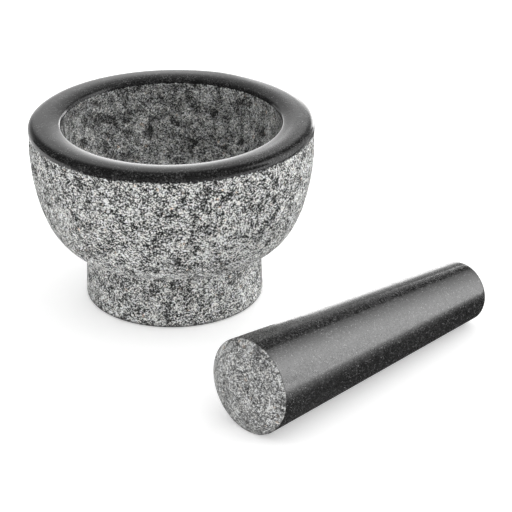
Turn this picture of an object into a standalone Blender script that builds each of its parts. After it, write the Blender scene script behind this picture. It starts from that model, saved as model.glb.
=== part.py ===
"""Granite mortar and pestle: a bowl on a round foot, turned from one block, and a loose tapered pestle.

The origin is the centre of the foot's underside, with +Z up. Sizes are in metres.
"""

from math import asin, atan2, cos, pi, radians, sin

import bmesh
import bpy

# Mortar: driving dimensions
HEIGHT = 0.0933
BELLY_RADIUS = 0.0707
BELLY_TOP = 0.0800  # above this height the outer wall is upright
BELLY_FALL = 1.75  # exponents of the belly's curve, down and across: 2 and 2 would be an ellipse
BELLY_REACH = 2.55
RIM_OUTER_ROUND = 0.0040
LIP_ROUND = 0.0020
BOWL_RADIUS = 0.0542  # at the lip
BOWL_DEPTH = 0.0600
BOWL_FULLNESS = 2.15  # exponent of the bowl's curve: 2 is an ellipse, and more is squarer
FOOT_RADIUS = 0.0450
FOOT_EDGE_ROUND = 0.0016
NECK_RADIUS = 0.0442  # where the foot meets the belly
NECK_HEIGHT = 0.0290
WAIST_DIP = 0.0003  # how far the foot's side is hollowed between its edge and the neck

# Pestle: driving dimensions
HEAD_RADIUS = 0.0226  # the wide grinding end
TIP_RADIUS = 0.0148  # the narrow end, where the taper would end
SHAFT_LENGTH = 0.1530  # from the head's rim circle to the far end
DOME_HEIGHT = 0.0073
TIP_ROUND = 0.0043
TIP_FULLNESS = 2.4  # exponent of the far end's curve
PESTLE_YAW = radians(45.8)
HEAD_X = 0.0386  # the head's rim circle, in plan
HEAD_Y = -0.1406

MORTAR_SEGMENTS = 96
PESTLE_SEGMENTS = 64
MERGE_DISTANCE = 0.000001
SHARP_ANGLE = radians(35)


def clear_scene():
    for thing in list(bpy.data.objects):
        bpy.data.objects.remove(thing, do_unlink=True)


def stone(name, colour, roughness):
    """A Principled material of one plain stone colour."""
    material = bpy.data.materials.new(name)
    material.use_nodes = True
    shader = material.node_tree.nodes["Principled BSDF"]
    shader.inputs["Base Color"].default_value = (*colour, 1.0)
    shader.inputs["Roughness"].default_value = roughness
    shader.inputs["Metallic"].default_value = 0.0
    material.diffuse_color = (*colour, 1.0)
    return material


def arc(centre, round_radius, start, end, steps):
    """Points of a circle's arc in the (radius, height) plane, with both ends. Angles are in degrees."""
    points = []
    for i in range(steps + 1):
        angle = radians(start + (end - start) * i / steps)
        points.append((centre[0] + round_radius * cos(angle), centre[1] + round_radius * sin(angle)))
    return points


def quarter(across, down, across_power, down_power, steps):
    """A quarter of a superellipse, as (across, down) pairs from (0, down) to (across, 0)."""
    points = [(0.0, down)]
    for i in range(1, steps):
        angle = pi / 2 * i / steps
        points.append((across * sin(angle) ** (2 / across_power), down * cos(angle) ** (2 / down_power)))
    points.append((across, 0.0))
    return points


def bowl_inside():
    """The bowl's inner face, from its lowest point up to the start of the lip's round."""
    lip = HEIGHT - LIP_ROUND
    curve = quarter(BOWL_RADIUS, BOWL_DEPTH - LIP_ROUND, BOWL_FULLNESS, BOWL_FULLNESS, 12)
    return [(radius, lip - drop) for radius, drop in curve]


def belly_outside():
    """The belly's outer face, from its upright top down to where it turns under to meet the foot."""
    reach = BELLY_RADIUS - NECK_RADIUS
    curve = quarter(reach, BELLY_TOP - NECK_HEIGHT, BELLY_REACH, BELLY_FALL, 14)
    return [(NECK_RADIUS + out, BELLY_TOP - drop) for out, drop in reversed(curve)]


def foot_side():
    """The foot's side, a shallow hollow from the neck down to the bottom edge."""
    steps = 4
    bottom = FOOT_EDGE_ROUND
    points = []
    for i in range(1, steps):
        down = i / steps
        radius = NECK_RADIUS + (FOOT_RADIUS - NECK_RADIUS) * down
        height = NECK_HEIGHT + (bottom - NECK_HEIGHT) * down
        points.append((radius - WAIST_DIP * sin(pi * down), height))
    return points


def mortar_profile():
    """The turned outline: up the bowl, over the rim, and down the belly and the foot to the underside."""
    lip_centre = (BOWL_RADIUS + LIP_ROUND, HEIGHT - LIP_ROUND)
    rim_centre = (BELLY_RADIUS - RIM_OUTER_ROUND, HEIGHT - RIM_OUTER_ROUND)
    foot_edge = (FOOT_RADIUS - FOOT_EDGE_ROUND, FOOT_EDGE_ROUND)
    points = bowl_inside()
    points += arc(lip_centre, LIP_ROUND, 180, 90, 4)[1:]
    points += arc(rim_centre, RIM_OUTER_ROUND, 90, 0, 5)
    points += belly_outside()
    points += foot_side()
    points += arc(foot_edge, FOOT_EDGE_ROUND, 0, -90, 3)
    points.append((0.0, 0.0))
    return points


def pestle_profile():
    """The pestle's outline about its own axis: from the far end, down the shaft, to the top of the dome."""
    taper = (HEAD_RADIUS - TIP_RADIUS) / SHAFT_LENGTH
    shoulder = SHAFT_LENGTH - TIP_ROUND
    shoulder_radius = TIP_RADIUS + taper * TIP_ROUND
    end = quarter(shoulder_radius, TIP_ROUND, TIP_FULLNESS, TIP_FULLNESS, 8)
    points = [(radius, shoulder + height) for radius, height in end]
    shaft_steps = 4
    for i in range(1, shaft_steps + 1):
        along = i / shaft_steps
        points.append((shoulder_radius + (HEAD_RADIUS - shoulder_radius) * along, shoulder * (1 - along)))
    ball_radius = (HEAD_RADIUS**2 + DOME_HEIGHT**2) / (2 * DOME_HEIGHT)
    widest = asin(HEAD_RADIUS / ball_radius)
    dome_steps = 6
    for i in range(1, dome_steps):
        angle = widest * (1 - i / dome_steps)
        points.append((ball_radius * sin(angle), ball_radius * (1 - cos(angle)) - DOME_HEIGHT))
    points.append((0.0, -DOME_HEIGHT))
    return points


def turned(name, profile, segments, material):
    """A solid of revolution about its own Z axis, from a profile that runs from the axis back to the axis."""
    shape = bmesh.new()
    corners = [shape.verts.new((radius, 0.0, height)) for radius, height in profile]
    edges = [shape.edges.new(pair) for pair in zip(corners, corners[1:])]
    bmesh.ops.spin(
        shape,
        geom=corners + edges,
        cent=(0, 0, 0),
        axis=(0, 0, 1),
        angle=2 * pi,
        steps=segments,
        use_merge=True,
    )
    bmesh.ops.remove_doubles(shape, verts=shape.verts, dist=MERGE_DISTANCE)
    bmesh.ops.recalc_face_normals(shape, faces=shape.faces)
    mesh = bpy.data.meshes.new(name)
    shape.to_mesh(mesh)
    shape.free()
    mesh.materials.append(material)
    mesh.shade_smooth()
    mesh.set_sharp_from_angle(angle=SHARP_ANGLE)
    solid = bpy.data.objects.new(name, mesh)
    bpy.context.scene.collection.objects.link(solid)
    return solid


def make_mortar():
    rough_granite = stone("rough_granite", (0.30, 0.30, 0.29), 0.85)
    return turned("mortar", mortar_profile(), MORTAR_SEGMENTS, rough_granite)


def make_pestle():
    """The pestle lies on its side, so its axis dips from the wide head towards the narrow end."""
    polished_granite = stone("polished_granite", (0.035, 0.036, 0.040), 0.18)
    pestle = turned("pestle", pestle_profile(), PESTLE_SEGMENTS, polished_granite)
    dip = atan2(HEAD_RADIUS - TIP_RADIUS, SHAFT_LENGTH)
    pestle.location = (HEAD_X, HEAD_Y, HEAD_RADIUS * cos(dip))
    pestle.rotation_euler = (0.0, pi / 2 + dip, PESTLE_YAW)
    return pestle


clear_scene()
make_mortar()
make_pestle()
bpy.context.view_layer.update()
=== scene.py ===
"""The looks of a granite mortar and pestle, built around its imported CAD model. Sizes are in metres."""

from math import asin, atan2, cos, pi, radians, sin

import bpy
import numpy as np
from mathutils import Euler, Matrix, Vector, noise


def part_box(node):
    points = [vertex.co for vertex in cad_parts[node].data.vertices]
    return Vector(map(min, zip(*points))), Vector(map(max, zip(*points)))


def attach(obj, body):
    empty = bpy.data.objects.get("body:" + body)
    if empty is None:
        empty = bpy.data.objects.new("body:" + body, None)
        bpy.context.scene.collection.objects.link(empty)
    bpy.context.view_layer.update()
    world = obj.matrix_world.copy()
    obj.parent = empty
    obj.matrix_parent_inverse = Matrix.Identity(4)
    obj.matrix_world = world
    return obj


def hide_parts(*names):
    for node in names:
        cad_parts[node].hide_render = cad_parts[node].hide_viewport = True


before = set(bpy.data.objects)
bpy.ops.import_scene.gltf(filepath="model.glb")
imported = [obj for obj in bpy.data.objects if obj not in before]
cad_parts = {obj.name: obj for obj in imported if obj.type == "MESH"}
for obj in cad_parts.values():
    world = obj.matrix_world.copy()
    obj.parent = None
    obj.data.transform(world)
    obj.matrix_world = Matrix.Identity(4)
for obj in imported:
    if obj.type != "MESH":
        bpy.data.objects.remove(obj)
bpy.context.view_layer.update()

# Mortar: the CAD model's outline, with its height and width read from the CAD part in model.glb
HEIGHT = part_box("mortar")[1].z
BELLY_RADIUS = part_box("mortar")[1].x
BELLY_TOP = 0.0800  # above this height the outer wall is upright
BELLY_FALL = 1.75  # exponents of the belly's curve, down and across: 2 and 2 would be an ellipse
BELLY_REACH = 2.55
BOWL_RADIUS = 0.0542
BOWL_DEPTH = 0.0600
BOWL_FULLNESS = 2.15  # exponent of the bowl's curve
FOOT_RADIUS = 0.0450
FOOT_EDGE_ROUND = 0.0016
NECK_RADIUS = 0.0442
NECK_HEIGHT = 0.0290
NECK_FILLET = 0.0015
INSET = 0.00003  # keeps the turned surfaces inside the CAD box

# Mortar: the polished rim's section, which falls both ways from a highest circle
CREST_RADIUS = 0.0640
LIP_DROP = 0.0009  # how far the rim has fallen at the bowl's edge
LIP_FALL = 2.2  # exponent of that fall
LIP_EDGE_ROUND = 0.0013
OUTER_DROP = 0.0033
OUTER_REACH = 4.5  # exponents of the outer side's curve, across and down
OUTER_FALL = 2.0

# Mortar: the heights where one finish of the outside gives way to another, and the height below which the
# foot's bottom edge gets painted contact shade
HAMMERED_ABOVE = 0.034
SAWN_BELOW = 0.028
CONTACT_SHADE_BELOW = 0.0026

# Mortar: the hammer's marks, as the sizes of broad hollows, of pits and of grains
HOLLOW = 0.012
PIT = 0.0045
GRAIN = 0.0021

# Mortar: the mesh, in steps along the outline and points round a ring
BOWL_STEPS = 88
BOWL_FLOOR_STEPS = 23
BELLY_STEPS = 94
NECK_STEPS = 4
FOOT_STEPS = 34
UNDERSIDE_STEPS = 4
COARSE_RING = 168
RING = 336
FINE_RING = 672

# Pestle: the CAD model's outline and place
HEAD_RADIUS = 0.0226
TIP_RADIUS = 0.0148
SHAFT_LENGTH = 0.1530
DOME_HEIGHT = 0.0073
TIP_ROUND = 0.0043
TIP_FULLNESS = 2.4  # exponent of the far end's curve
PESTLE_YAW = radians(45.8)
PESTLE_DIP = atan2(HEAD_RADIUS - TIP_RADIUS, SHAFT_LENGTH)
HEAD_X = 0.0386
HEAD_Y = -0.1406

# Pestle: the mesh, in steps along the outline and points round a ring
TIP_STEPS = 22
SHAFT_STEPS = 60
DOME_STEPS = 64
PESTLE_RING = 192
TURNING_PITCH = 0.0011  # from one turning mark on the head to the next

# Granite: the sizes of its crystals, specks, tints, clusters and patches of mica
LARGE_CRYSTAL = 0.0009
SMALL_CRYSTAL = 0.00048
LARGE_SHARE = 0.32  # of the make-up, and the small crystals give the rest
SPECK = 0.0004
CAST = 0.0013
CLUSTER = 0.0050
PATCH = 0.0080
BEND = 0.6  # how far a crystal's border is bent, in its own size

# Granite: how bright each finish is, as (make-up, brightness) from mica at 0 to feldspar at 1
HAMMERED = [(0.31, 0.008), (0.41, 0.040), (0.49, 0.19), (0.56, 0.48), (0.68, 0.88)]
SAWN = [(0.27, 0.02), (0.40, 0.09), (0.50, 0.29), (0.59, 0.55), (0.73, 0.92)]
HONED = [(0.18, 0.012), (0.36, 0.095), (0.50, 0.25), (0.68, 0.41), (0.86, 0.84)]
POLISHED = [(0.3, 0.010), (0.7, 0.024), (1.0, 0.09)]
GROUND = [(0.15, 0.03), (0.4, 0.18), (0.6, 0.36), (0.86, 0.76)]
SPECKLED = [(0.0, 0.003), (0.74, 0.008), (0.93, 0.032), (1.0, 0.23)]  # over chance, not make-up

# Granite: the roughness of its finishes
HAMMERED_ROUGHNESS = 0.85
HONED_ROUGHNESS = 0.6
GROUND_ROUGHNESS = 0.7
POLISHED_ROUGHNESS = 0.15

# The camera's place and lens
CAMERA_PLACE = Vector((0.04155, -0.8681, 0.4444))
CAMERA_PITCH = radians(26.18)
SENSOR_WIDTH = 0.036
FOCAL_LENGTH = 0.13359375

# The floor and the world
FLOOR_HALF = 12.0
FLOOR_GLOW = 0.35
MATT_RADIANCE = 2.12  # of the world, where it lights matt stone
GLOSSY_RADIANCE = 0.02  # of the world, where polished stone mirrors it
SEEN_RADIANCE = 1.1  # of the world, as the camera sees it

# The cards that polished stone mirrors
CARD_LIFT = 0.0002  # height of the cards that lie on the floor
BACK_LEFT = -0.5
BACK_RIGHT = 0.3
BACK_TOP = 0.5
BACK_Y = 0.4
BACK_RADIANCE = 4.0
LIP_RADIANCE = 5.0
DARK_RADIANCE = 0.065
RIGHT_RADIANCE = 1.75
PANEL_X = 0.8
PANEL_FRONT = -0.15
PANEL_REAR = 1.0
PANEL_TOP = 1.3
LOW_CARD_TOP = 0.085
LOW_CARD_STEP = 0.065  # its top inside the mortar, where a higher one would reach into the bowl
LOW_GLOW_X = 0.11  # where along X its brightness is as its stops say
BEHIND_START = -0.12  # X + Y where the card behind the pestle starts to brighten


# ---------------------------------------------------------------- outlines


def arc(radius, start, end, first, steps):
    """An arc from the point first, along which the normal turns from start to end, outwards from up."""
    turn = np.linspace(start, end, steps + 1)
    across = first[0] + radius * (np.sin(turn) - sin(start))
    up = first[1] + radius * (np.cos(turn) - cos(start))
    return np.column_stack([across, up])


def line(first, last, steps):
    return np.linspace(first, last, steps + 1)


def quarter(across, down, across_power, down_power, steps):
    """A quarter of a superellipse, as (across, down) from (0, down) to (across, 0)."""
    angle = np.linspace(0, pi / 2, steps + 1)
    reach = across * np.abs(np.sin(angle)) ** (2 / across_power)
    drop = down * np.abs(np.cos(angle)) ** (2 / down_power)
    drop[-1] = 0
    return np.column_stack([reach, drop])


def respaced(points, steps):
    """The same outline with its points evenly spaced."""
    length = np.concatenate([[0], np.cumsum(np.linalg.norm(np.diff(points, axis=0), axis=1))])
    at = np.linspace(0, length[-1], steps + 1)
    return np.column_stack([np.interp(at, length, points[:, i]) for i in (0, 1)])


def smoothstep(low, high, value):
    share = min(max((value - low) / (high - low), 0), 1)
    return share * share * (3 - 2 * share)


# ---------------------------------------------------------------- turned meshes


class Turning:
    """Rings about the local Z axis, from one point on it to another, each with its own point count."""

    def __init__(self):
        self.outline = []
        self.segments = []

    def add(self, points, segments):
        """Adds a stretch of the outline. Its first point is dropped where the last stretch ended there."""
        skip = 1 if self.outline else 0
        self.outline += [tuple(point) for point in points[skip:]]
        self.segments += [segments] * (len(points) - skip)

    def normals(self):
        """Unit normals on the outline's left, which is out of the stone."""
        points = np.array(self.outline)
        along = np.gradient(points, axis=0)
        along /= np.linalg.norm(along, axis=1)[:, None]
        return np.column_stack([-along[:, 1], along[:, 0]])

    def mesh(self, name, relief):
        """A closed mesh. relief(place, ring) is how deep a point sinks into the stone, past the inset."""
        normals = self.normals()
        vertices = []
        rings = []
        for i, ((radius, height), count) in enumerate(zip(self.outline, self.segments)):
            count = 1 if radius < 1e-9 else count
            rings.append(range(len(vertices), len(vertices) + count))
            for k in range(count):
                turn = 2 * pi * k / count
                out = Vector((cos(turn), sin(turn), 0))
                place = out * radius + Vector((0, 0, height))
                normal = out * normals[i, 0] + Vector((0, 0, normals[i, 1]))
                vertices.append(place - normal * (INSET + relief(place, i)))
        faces = []
        for lower, upper in zip(rings, rings[1:]):
            faces += bridge(lower, upper)
        mesh = bpy.data.meshes.new(name)
        mesh.from_pydata(vertices, [], faces)
        mesh.shade_smooth()
        self.rings = rings
        return mesh

    def store(self, mesh, name, value):
        """Keeps one number for each ring as a vertex attribute of that name."""
        numbers = np.concatenate([np.full(len(ring), value(i)) for i, ring in enumerate(self.rings)])
        mesh.attributes.new(name, "FLOAT", "POINT").data.foreach_set("value", numbers.astype(np.float32))


def bridge(first, second):
    """Faces between two rings, where one may have twice the points of the other or be a single point."""
    a = len(first)
    b = len(second)
    if a == 1:
        return [(first[0], second[(k + 1) % b], second[k]) for k in range(b)]
    if b == 1:
        return [(first[k], first[(k + 1) % a], second[0]) for k in range(a)]
    if a == b:
        return [(first[k], first[(k + 1) % a], second[(k + 1) % b], second[k]) for k in range(a)]
    faces = []
    for k in range(min(a, b)):
        if a > b:
            near, middle, far = first[2 * k], first[2 * k + 1], first[(2 * k + 2) % a]
            this, after = second[k], second[(k + 1) % b]
            faces += [(near, middle, this), (middle, after, this), (middle, far, after)]
        else:
            near, middle, far = second[2 * k], second[2 * k + 1], second[(2 * k + 2) % b]
            this, after = first[k], first[(k + 1) % a]
            faces += [(this, middle, near), (this, after, middle), (after, far, middle)]
    return faces


def placed(name, mesh, material, body, node):
    piece = bpy.data.objects.new(name, mesh)
    bpy.context.scene.collection.objects.link(piece)
    mesh.materials.append(material)
    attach(piece, body)
    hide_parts(node)
    return piece


# ---------------------------------------------------------------- mortar


def rim_outline():
    """The polished rim, from the bowl's edge over the crest to the top of the outer wall."""
    inner_reach = CREST_RADIUS - BOWL_RADIUS - LIP_EDGE_ROUND
    slope = atan2(LIP_DROP * LIP_FALL, inner_reach)
    away = np.linspace(1, 0, 12)
    inner = np.column_stack([CREST_RADIUS - inner_reach * away, HEIGHT - LIP_DROP * away**LIP_FALL])
    edge = arc(LIP_EDGE_ROUND, -slope, -pi / 2, inner[0], 6)[::-1]
    outer = quarter(BELLY_RADIUS - CREST_RADIUS, OUTER_DROP, OUTER_REACH, OUTER_FALL, 200)
    outer = np.column_stack([CREST_RADIUS + outer[:, 0], HEIGHT - OUTER_DROP + outer[:, 1]])
    rim = np.concatenate([edge[:-1], inner, respaced(outer, 12)[1:]])
    rim[0][0] = BOWL_RADIUS
    return rim


def bowl_outline(top):
    """The bowl's inner face, from its lowest point up to the height top."""
    bowl = quarter(BOWL_RADIUS, top - (HEIGHT - BOWL_DEPTH), BOWL_FULLNESS, BOWL_FULLNESS, 200)
    bowl[:, 1] = top - bowl[:, 1]
    return respaced(bowl, BOWL_STEPS)


def belly_outline(top):
    """The belly's outer face, from the height top down to the fillet at the neck."""
    belly = quarter(BELLY_RADIUS - NECK_RADIUS, BELLY_TOP - NECK_HEIGHT, BELLY_REACH, BELLY_FALL, 400)[::-1]
    belly = np.column_stack([NECK_RADIUS + belly[:, 0], BELLY_TOP - belly[:, 1]])
    bottom = (NECK_RADIUS + NECK_FILLET, NECK_HEIGHT)
    belly = np.concatenate([[(BELLY_RADIUS, top)], belly[belly[:, 0] > bottom[0]], [bottom]])
    return respaced(belly, BELLY_STEPS)


def neck_outline():
    """The fillet where the belly meets the foot."""
    turn = np.linspace(pi / 2, pi, NECK_STEPS + 1)
    across = NECK_RADIUS + NECK_FILLET + NECK_FILLET * np.cos(turn)
    up = NECK_HEIGHT - NECK_FILLET * (1 - np.sin(turn))
    return np.column_stack([across, up])


def hammered_depth(place):
    """How deep the hammer's marks lie under the outer wall at a place: pits on top of broader hollows."""
    broad = noise.noise(place / HOLLOW) + 1
    pits = noise.noise(place / PIT + Vector((7, 0, 0))) + 1
    grains = noise.noise(place / GRAIN + Vector((0, 5, 0))) + 1
    return 0.00005 * broad + 0.00010 * pits + 0.00012 * grains


def make_mortar():
    rim = rim_outline()
    rim_bottom = rim[-1][1]
    bowl = bowl_outline(rim[0][1])
    neck = neck_outline()
    foot_edge = (FOOT_RADIUS, FOOT_EDGE_ROUND)
    turning = Turning()
    turning.add(bowl[: BOWL_FLOOR_STEPS + 1], COARSE_RING)
    turning.add(bowl[BOWL_FLOOR_STEPS:], RING)
    turning.add(rim, RING)
    turning.add(belly_outline(rim_bottom), FINE_RING)
    turning.add(neck, RING)
    turning.add(line(tuple(neck[-1]), foot_edge, FOOT_STEPS), RING)
    turning.add(arc(FOOT_EDGE_ROUND, pi / 2, pi, foot_edge, 4), RING)
    turning.add(line((FOOT_RADIUS - FOOT_EDGE_ROUND, 0), (0, 0), UNDERSIDE_STEPS), RING)

    height = np.array(turning.outline)[:, 1]
    bowl_end = BOWL_STEPS
    rim_end = bowl_end + len(rim) - 1
    foot = rim_end + BELLY_STEPS + NECK_STEPS
    underside = len(height) - 1 - UNDERSIDE_STEPS

    def hammered_share(i):
        """How much of the hammered relief a ring has."""
        if i <= rim_end or i >= underside:
            return 0
        if i >= foot:
            return 0.35 * smoothstep(0.0010, 0.0045, height[i])
        below_rim = smoothstep(rim_bottom - 0.0004, rim_bottom - 0.0035, height[i])
        return below_rim * (1 - 0.5 * smoothstep(HAMMERED_ABOVE, NECK_HEIGHT, height[i]))

    def relief(place, i):
        if i < bowl_end:
            return 0.00005 * (noise.noise(place / 0.004) + 1) * smoothstep(0, 6, bowl_end - i)
        share = hammered_share(i)
        return share * hammered_depth(place) if share else 0

    def polish(i):
        return smoothstep(rim_bottom - 0.0025, rim_bottom + 0.0010, height[i]) * (i >= bowl_end)

    # Painted contact shade: how far the foot's bottom edge is darkened where the stone meets the floor
    def contact_shade(i):
        return 0.85 * smoothstep(CONTACT_SHADE_BELOW, 0.0004, height[i]) * (i > rim_end)

    def sawn(i):
        return smoothstep(HAMMERED_ABOVE, SAWN_BELOW, height[i]) * (i > rim_end)

    mesh = turning.mesh("mortar_stone", relief)
    turning.store(mesh, "polish", polish)
    turning.store(mesh, "bowl", lambda i: float(i < bowl_end))
    turning.store(mesh, "edge", contact_shade)
    turning.store(mesh, "foot", sawn)
    return placed("mortar_stone", mesh, mortar_granite(), "mortar", "mortar")


# ---------------------------------------------------------------- pestle


def make_pestle():
    """Turned upright with the head at the bottom, then laid down in its place."""
    taper = (HEAD_RADIUS - TIP_RADIUS) / SHAFT_LENGTH
    shoulder = SHAFT_LENGTH - TIP_ROUND
    shoulder_radius = TIP_RADIUS + taper * TIP_ROUND
    ball_radius = (HEAD_RADIUS**2 + DOME_HEIGHT**2) / (2 * DOME_HEIGHT)
    widest = asin(HEAD_RADIUS / ball_radius)
    end = quarter(shoulder_radius, TIP_ROUND, TIP_FULLNESS, TIP_FULLNESS, 200)
    end[:, 1] += shoulder
    dome = arc(ball_radius, pi - widest, pi, (HEAD_RADIUS, 0), DOME_STEPS)
    turning = Turning()
    turning.add(respaced(end, TIP_STEPS), PESTLE_RING)
    turning.add(line((shoulder_radius, shoulder), (HEAD_RADIUS, 0), SHAFT_STEPS), PESTLE_RING)
    turning.add(dome, PESTLE_RING)
    turning.outline[-1] = (0, -DOME_HEIGHT)
    outline = np.array(turning.outline)
    head_rim = TIP_STEPS + SHAFT_STEPS

    def relief(place, i):
        """Turning marks and a fine roughness, on the head only."""
        if i <= head_rim:
            return 0
        radius = outline[i, 0]
        groove = 0.5 + 0.5 * sin(radius / TURNING_PITCH * 2 * pi + 2 * noise.noise(place / 0.006))
        return 0.00005 * groove + 0.00004 * (noise.noise(place / 0.002) + 1)

    mesh = turning.mesh("pestle_stone", relief)
    turning.store(mesh, "head", lambda i: float(i > head_rim))
    turning.store(mesh, "radius", lambda i: outline[i, 0])
    place = Matrix.Translation((HEAD_X, HEAD_Y, HEAD_RADIUS * cos(PESTLE_DIP)))
    mesh.transform(place @ Euler((0, pi / 2 + PESTLE_DIP, PESTLE_YAW)).to_matrix().to_4x4())
    mesh.set_sharp_from_angle(angle=radians(30))
    return placed("pestle_stone", mesh, pestle_granite(), "pestle", "pestle")


# ---------------------------------------------------------------- shader nodes


def put(socket, value, tree):
    """Links another node's output to the socket, or sets the socket to a value."""
    if isinstance(value, bpy.types.NodeSocket):
        tree.links.new(value, socket)
    else:
        socket.default_value = value


def add_node(tree, kind, inputs=None, **settings):
    """A shader node. inputs maps a socket's name or number to a value or to another node's output."""
    node = tree.nodes.new(kind)
    for setting, value in settings.items():
        setattr(node, setting, value)
    for socket, value in (inputs or {}).items():
        put(node.inputs[socket], value, tree)
    return node


def maths(tree, operation, first, second=0.0, clamp=False):
    inputs = {0: first, 1: second}
    return add_node(tree, "ShaderNodeMath", inputs, operation=operation, use_clamp=clamp).outputs[0]


def vector_maths(tree, operation, inputs):
    return add_node(tree, "ShaderNodeVectorMath", inputs, operation=operation).outputs[0]


def axis(tree, place, name):
    return add_node(tree, "ShaderNodeSeparateXYZ", {0: place}).outputs[name]


def ramp(tree, value, stops):
    """A colour ramp from (place, brightness) or (place, colour) stops."""
    node = add_node(tree, "ShaderNodeValToRGB", {0: value})
    band = node.color_ramp
    while len(band.elements) < len(stops):
        band.elements.new(0.5)
    for element, (place, colour) in zip(band.elements, stops):
        element.position = place
        element.color = (*colour, 1) if isinstance(colour, tuple) else (colour, colour, colour, 1)
    return node.outputs[0]


def mixed(tree, share, first, second, blend_type="MIX"):
    """A colour that goes from first to second as share goes from 0 to 1."""
    inputs = {0: share, 6: first, 7: second}
    return add_node(tree, "ShaderNodeMix", inputs, data_type="RGBA", blend_type=blend_type).outputs[2]


def blended(tree, share, first, second):
    """A number that goes from first to second as share goes from 0 to 1."""
    return add_node(tree, "ShaderNodeMix", {0: share, 2: first, 3: second}, data_type="FLOAT").outputs[0]


def attribute(tree, name):
    return add_node(tree, "ShaderNodeAttribute", attribute_name=name).outputs["Fac"]


def noise_field(tree, place, size, detail=2.0, roughness=0.5):
    """Smooth noise from 0 to 1 whose features are about this size in metres."""
    inputs = {"Vector": place, "Scale": 1 / size, "Detail": detail, "Roughness": roughness}
    return add_node(tree, "ShaderNodeTexNoise", inputs)


def new_material(name):
    material = bpy.data.materials.new(name)
    material.use_nodes = True
    tree = material.node_tree
    place = add_node(tree, "ShaderNodeTexCoord").outputs["Object"]
    return material, tree, tree.nodes["Principled BSDF"], place


# ---------------------------------------------------------------- granite


def crystals(tree, place, size):
    """Random brightness for each crystal, with bent borders. The crystals are about this size in metres."""
    bend = noise_field(tree, place, size * 1.6, 1.0).outputs["Color"]
    centred = vector_maths(tree, "SUBTRACT", {0: bend, 1: (0.5, 0.5, 0.5)})
    scaled = vector_maths(tree, "SCALE", {0: centred, "Scale": size * BEND})
    bent = vector_maths(tree, "ADD", {0: place, 1: scaled})
    cells = add_node(tree, "ShaderNodeTexVoronoi", {"Vector": bent, "Scale": 1 / size}, feature="F1")
    return add_node(tree, "ShaderNodeSeparateColor", {0: cells.outputs["Color"]}).outputs[0]


def minerals(tree, place, mottle, blots=0.15):
    """The stone's make-up: 0 is black mica, the middle is grey quartz and 1 is white feldspar.

    mottle says how far the make-up drifts from cluster to cluster, and blots how dark the patches are.
    """
    large = maths(tree, "MULTIPLY", crystals(tree, place, LARGE_CRYSTAL), LARGE_SHARE)
    small = maths(tree, "MULTIPLY", crystals(tree, place, SMALL_CRYSTAL), 1 - LARGE_SHARE)
    cluster = noise_field(tree, place, CLUSTER, 3.0).outputs["Fac"]
    shift = maths(tree, "MULTIPLY", maths(tree, "SUBTRACT", cluster, 0.5), mottle)
    grains = maths(tree, "ADD", large, small)
    patches = ramp(tree, noise_field(tree, place, PATCH).outputs["Fac"], [(0.33, blots), (0.41, 0.0)])
    return maths(tree, "SUBTRACT", maths(tree, "ADD", grains, shift), patches, clamp=True)


def tinted(tree, place, colour):
    """The colour with a faint warm or cool cast from crystal to crystal, and a few rusty crystals."""
    rust = [(0.0, (1.0, 0.84, 0.70)), (0.005, (1.0, 0.85, 0.72))]
    casts = [(0.012, (1.0, 0.985, 0.945)), (0.5, (0.98, 1.0, 0.97)), (1.0, (0.965, 0.98, 1.0))]
    cast = ramp(tree, crystals(tree, place, CAST), rust + casts)
    return mixed(tree, 1.0, colour, cast, "MULTIPLY")


def mortar_granite():
    """Hammered belly, sawn foot with painted contact shade along its bottom edge, honed bowl and polished
    rim.
    """
    material, tree, shader, place = new_material("mortar_granite")
    mineral = minerals(tree, place, 0.8)
    bowl_mineral = minerals(tree, place, 0.95, 0.28)
    bowl = attribute(tree, "bowl")
    ragged = noise_field(tree, place, 0.0012, 3.0).outputs["Fac"]
    wander = maths(tree, "MULTIPLY", maths(tree, "SUBTRACT", ragged, 0.5), 1.6)
    polish = ramp(tree, maths(tree, "ADD", attribute(tree, "polish"), wander), [(0.40, 0.0), (0.58, 1.0)])

    outside = mixed(tree, attribute(tree, "foot"), ramp(tree, mineral, HAMMERED), ramp(tree, mineral, SAWN))
    # Painted contact shade: the outside is darkened towards near black along the foot's bottom edge
    contact_shaded = mixed(tree, attribute(tree, "edge"), outside, (0.03, 0.03, 0.03, 1))
    rough = tinted(tree, place, mixed(tree, bowl, contact_shaded, ramp(tree, bowl_mineral, HONED)))
    colour = mixed(tree, polish, rough, ramp(tree, mineral, POLISHED))
    put(shader.inputs["Base Color"], colour, tree)
    dull = blended(tree, bowl, HAMMERED_ROUGHNESS, HONED_ROUGHNESS)
    put(shader.inputs["Roughness"], blended(tree, polish, dull, POLISHED_ROUGHNESS), tree)

    relief = maths(tree, "MULTIPLY", mineral, maths(tree, "SUBTRACT", 1.0, polish))
    bump = add_node(tree, "ShaderNodeBump", {"Height": relief, "Strength": 1.0, "Distance": 0.0005})
    put(shader.inputs["Normal"], bump.outputs[0], tree)
    return material


def turning_streaks(tree, place):
    """Streaks that run round the head, since they change faster along its radius than around it."""
    rings = maths(tree, "DIVIDE", attribute(tree, "radius"), 0.00045)
    slow = vector_maths(tree, "SCALE", {0: place, "Scale": 1 / 0.004})
    inputs = {"Vector": slow, "W": rings, "Scale": 1.0, "Detail": 1.0}
    streaks = add_node(tree, "ShaderNodeTexNoise", inputs, noise_dimensions="4D").outputs["Fac"]
    return maths(tree, "MULTIPLY", maths(tree, "SUBTRACT", streaks, 0.5), 0.75)


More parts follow.
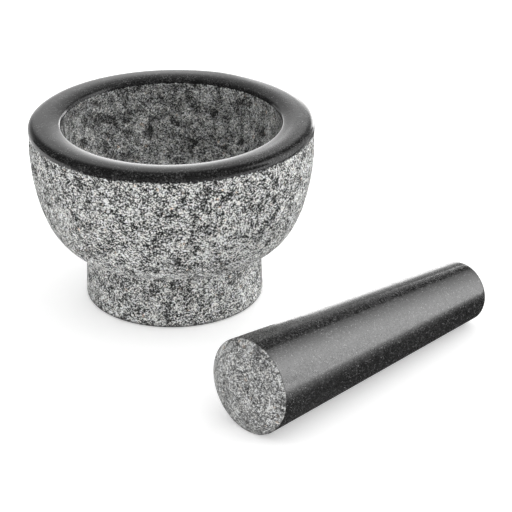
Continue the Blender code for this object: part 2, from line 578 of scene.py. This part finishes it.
def pestle_granite():
    """Polished shaft and ground head."""
    material, tree, shader, place = new_material("pestle_granite")
    mineral = minerals(tree, place, 0.75, 0.1)
    head = attribute(tree, "head")
    head_mineral = maths(tree, "ADD", mineral, turning_streaks(tree, place), clamp=True)
    ground = tinted(tree, place, ramp(tree, head_mineral, GROUND))
    polished = ramp(tree, crystals(tree, place, SPECK), SPECKLED)
    put(shader.inputs["IOR"], 2.0, tree)
    put(shader.inputs["Specular IOR Level"], 0.8, tree)
    put(shader.inputs["Base Color"], mixed(tree, head, polished, ground), tree)
    gloss = ramp(tree, mineral, [(0.25, 0.08), (0.75, 0.28)])
    put(shader.inputs["Roughness"], blended(tree, head, gloss, GROUND_ROUGHNESS), tree)
    bump = add_node(tree, "ShaderNodeBump", {"Height": mineral, "Strength": 0.35, "Distance": 0.00006})
    put(shader.inputs["Normal"], bump.outputs[0], tree)
    return material


# ---------------------------------------------------------------- camera, floor and world


def make_camera():
    data = bpy.data.cameras.new("camera")
    data.sensor_width = SENSOR_WIDTH * 1000
    data.lens = FOCAL_LENGTH * 1000
    data.clip_start = 0.01
    data.clip_end = 100
    camera = bpy.data.objects.new("camera", data)
    camera.location = CAMERA_PLACE
    camera.rotation_euler = (pi / 2 - CAMERA_PITCH, 0, 0)
    bpy.context.scene.collection.objects.link(camera)
    bpy.context.scene.camera = camera


def make_floor():
    low = -FLOOR_HALF
    high = FLOOR_HALF
    mesh = bpy.data.meshes.new("floor")
    mesh.from_pydata([(low, low, 0), (high, low, 0), (high, high, 0), (low, high, 0)], [], [(0, 1, 2, 3)])
    floor = bpy.data.objects.new("floor", mesh)
    bpy.context.scene.collection.objects.link(floor)
    material = bpy.data.materials.new("pale_floor")
    material.use_nodes = True
    shader = material.node_tree.nodes["Principled BSDF"]
    shader.inputs["Base Color"].default_value = (0.90, 0.90, 0.90, 1)
    shader.inputs["Roughness"].default_value = 0.9
    shader.inputs["Emission Color"].default_value = (1, 1, 1, 1)
    shader.inputs["Emission Strength"].default_value = FLOOR_GLOW
    mesh.materials.append(material)


def background(tree, strength, colour=(1, 1, 1, 1)):
    return add_node(tree, "ShaderNodeBackground", {"Color": colour, "Strength": strength}).outputs[0]


def either(tree, share, first, second):
    """The first shader where share is 0, and the second where it is 1."""
    return add_node(tree, "ShaderNodeMixShader", {0: share, 1: first, 2: second}).outputs[0]


def make_world():
    """White to the camera, dim in reflections, and a soft light on matt stone, strongest from the right."""
    world = bpy.data.worlds.new("studio")
    bpy.context.scene.world = world
    world.use_nodes = True
    tree = world.node_tree
    tree.nodes.clear()
    direction = add_node(tree, "ShaderNodeTexCoord").outputs["Generated"]
    forward = maths(tree, "MULTIPLY", axis(tree, direction, "Y"), -1.0)
    front = ramp(tree, forward, [(0.0, 1.0), (1.0, 0.62)])
    sideways = maths(tree, "ADD", maths(tree, "MULTIPLY", axis(tree, direction, "X"), 0.5), 0.5)
    right = ramp(tree, sideways, [(0.0, 0.50), (0.5, 0.43), (1.0, 1.02)])
    matt = background(tree, maths(tree, "MULTIPLY", right, MATT_RADIANCE), front)
    path = add_node(tree, "ShaderNodeLightPath").outputs
    light = either(tree, path["Is Glossy Ray"], matt, background(tree, GLOSSY_RADIANCE))
    shown = either(tree, path["Is Camera Ray"], light, background(tree, SEEN_RADIANCE))
    add_node(tree, "ShaderNodeOutputWorld", {0: shown})


# ---------------------------------------------------------------- mirrored cards


def reflected_card(name, corners, glow):
    """A flat card that shows only in reflections. glow(tree, place) makes its brightness."""
    mesh = bpy.data.meshes.new(name)
    mesh.from_pydata(corners, [], [tuple(range(len(corners)))])
    card = bpy.data.objects.new(name, mesh)
    bpy.context.scene.collection.objects.link(card)
    material = bpy.data.materials.new(name)
    material.use_nodes = True
    tree = material.node_tree
    tree.nodes.clear()
    place = add_node(tree, "ShaderNodeTexCoord").outputs["Object"]
    light = add_node(tree, "ShaderNodeEmission", {"Strength": glow(tree, place)})
    add_node(tree, "ShaderNodeOutputMaterial", {0: light.outputs[0]})
    mesh.materials.append(material)
    card.visible_camera = False
    card.visible_diffuse = False
    card.visible_shadow = False


def upright(start, end, top):
    """The corners of an upright card from one place on the floor to another."""
    return [(*start, 0), (*end, 0), (*end, top), (*start, top)]


def lying(outline, height=CARD_LIFT):
    """The corners of a card that lies on the floor."""
    return [(x, y, height) for x, y in outline]


def back_glow(tree, place):
    """Fades upwards and to the sides, with a brighter patch low down on the right."""
    across = maths(tree, "SUBTRACT", axis(tree, place, "X"), BACK_LEFT)
    up = axis(tree, place, "Z")
    fade = [(0.105, 1.0), (0.155, 0.70), (0.20, 0.46), (0.235, 0.33)]
    fade += [(0.258, 0.27), (0.285, 0.165), (0.33, 0.08), (0.45, 0.02)]
    sides = [(0.28, 0.28), (0.36, 0.85), (0.44, 0.98), (0.49, 0.98), (0.515, 0.78)]
    sides += [(0.566, 0.75), (0.61, 0.65), (0.64, 0.25), (0.78, 0.25)]
    patch = [(0.525, 0.0), (0.54, 1.3), (0.59, 1.3), (0.61, 0.5), (0.66, 0.6), (0.69, 0.9), (0.78, 0.9)]
    wide = maths(tree, "MULTIPLY", ramp(tree, up, fade), ramp(tree, across, sides))
    low = ramp(tree, up, [(0.0, 1.0), (0.20, 1.0), (0.232, 0.0)])
    both = maths(tree, "ADD", wide, maths(tree, "MULTIPLY", low, ramp(tree, across, patch)))
    return maths(tree, "MULTIPLY", both, BACK_RADIANCE)


def low_glow(tree, place):
    """Brighter towards the floor, along a line that falls to the right as the pestle's top does."""
    fall = 2 * (HEAD_RADIUS - TIP_RADIUS) / (SHAFT_LENGTH * cos(PESTLE_YAW))
    raised = maths(tree, "MULTIPLY", maths(tree, "SUBTRACT", axis(tree, place, "X"), LOW_GLOW_X), fall)
    share = maths(tree, "DIVIDE", maths(tree, "ADD", axis(tree, place, "Z"), raised), LOW_CARD_TOP)
    return ramp(tree, share, [(0.37, 2.4), (0.48, 1.3), (0.62, 0.55), (0.79, 0.32), (1.0, 0.28)])


def behind_glow(tree, place):
    """Darker towards the pestle's head, where it meets the dark card."""
    along = maths(tree, "ADD", axis(tree, place, "X"), axis(tree, place, "Y"))
    return ramp(tree, maths(tree, "SUBTRACT", along, BEHIND_START), [(0.01, 0.07), (0.11, 0.9)])


def floor_glow(tree, place):
    """Bright to the right of the object, and dark close to it."""
    away = maths(tree, "SUBTRACT", axis(tree, place, "X"), axis(tree, place, "Y"))
    near_and_far = ramp(tree, away, [(0.24, 0.03), (0.31, 0.26), (0.44, 1.0)])
    return maths(tree, "MULTIPLY", near_and_far, RIGHT_RADIANCE)


def panel_glow(tree, place):
    """Dimmer towards its rear end."""
    share = maths(tree, "DIVIDE", axis(tree, place, "Y"), PANEL_REAR)
    fade = ramp(tree, share, [(0.05, 1.0), (0.18, 0.82), (0.30, 0.60), (0.70, 0.32), (1.0, 0.22)])
    return maths(tree, "MULTIPLY", fade, RIGHT_RADIANCE)


def make_rear_cards():
    """A tall card behind the object, and a bright one on the floor between the two."""
    reflected_card("back_card", upright((BACK_LEFT, BACK_Y), (BACK_RIGHT, BACK_Y), BACK_TOP), back_glow)
    outline = [(-0.15, 0.12), (0.08, 0.12), (0.08, BACK_Y), (-0.15, BACK_Y)]
    reflected_card("lip_card", lying(outline), lambda *_: LIP_RADIANCE)


def make_floor_cards():
    """Cards on the floor: dark to the front and left, brighter to the right and behind the pestle."""
    outline = [(-1.5, -0.108), (0.10, -0.108), (0.10, -0.34), (0.9, -0.34), (0.9, -1.5), (-1.5, -1.5)]
    reflected_card("dark_card", lying(outline, CARD_LIFT / 2), lambda *_: DARK_RADIANCE)
    outline = [(0.091, -0.35), (PANEL_X, -0.35), (PANEL_X, 0.57), (0.72, 0.57)]
    outline += [(0.147, -0.03), (0.069, -0.11), (0.091, -0.11)]
    reflected_card("right_floor_card", lying(outline), floor_glow)
    outline = [(0.0, -0.1085), (0.068, -0.1085), (0.146, -0.029), (0.56, 0.39), (0.152, 0.39)]
    outline += [(0.152, 0.118), (0.09, 0.118), (0.09, 0.0), (0.05, -0.045), (0.0, -0.07)]
    reflected_card("behind_card", lying(outline), behind_glow)


def make_low_card():
    """A low upright card along the pestle, behind it. It starts under the belly, and in the stone above."""
    start = (0.046, -0.0259)
    step = (0.069, -0.0023)
    end = (0.26, 0.194)
    corners = [(*start, 0), (*end, 0), (*end, LOW_CARD_TOP), (*step, LOW_CARD_TOP)]
    corners += [(*step, LOW_CARD_STEP), (*start, LOW_CARD_STEP)]
    reflected_card("low_card", corners, low_glow)


def make_panel():
    """A large upright card on the right, which gives the pestle its long band of light."""
    corners = upright((PANEL_X, PANEL_FRONT), (PANEL_X, PANEL_REAR), PANEL_TOP)
    reflected_card("right_card", corners, panel_glow)


make_camera()
make_floor()
make_world()
make_rear_cards()
make_floor_cards()
make_low_card()
make_panel()
make_mortar()
make_pestle()
bpy.context.scene.view_settings.view_transform = "Standard"
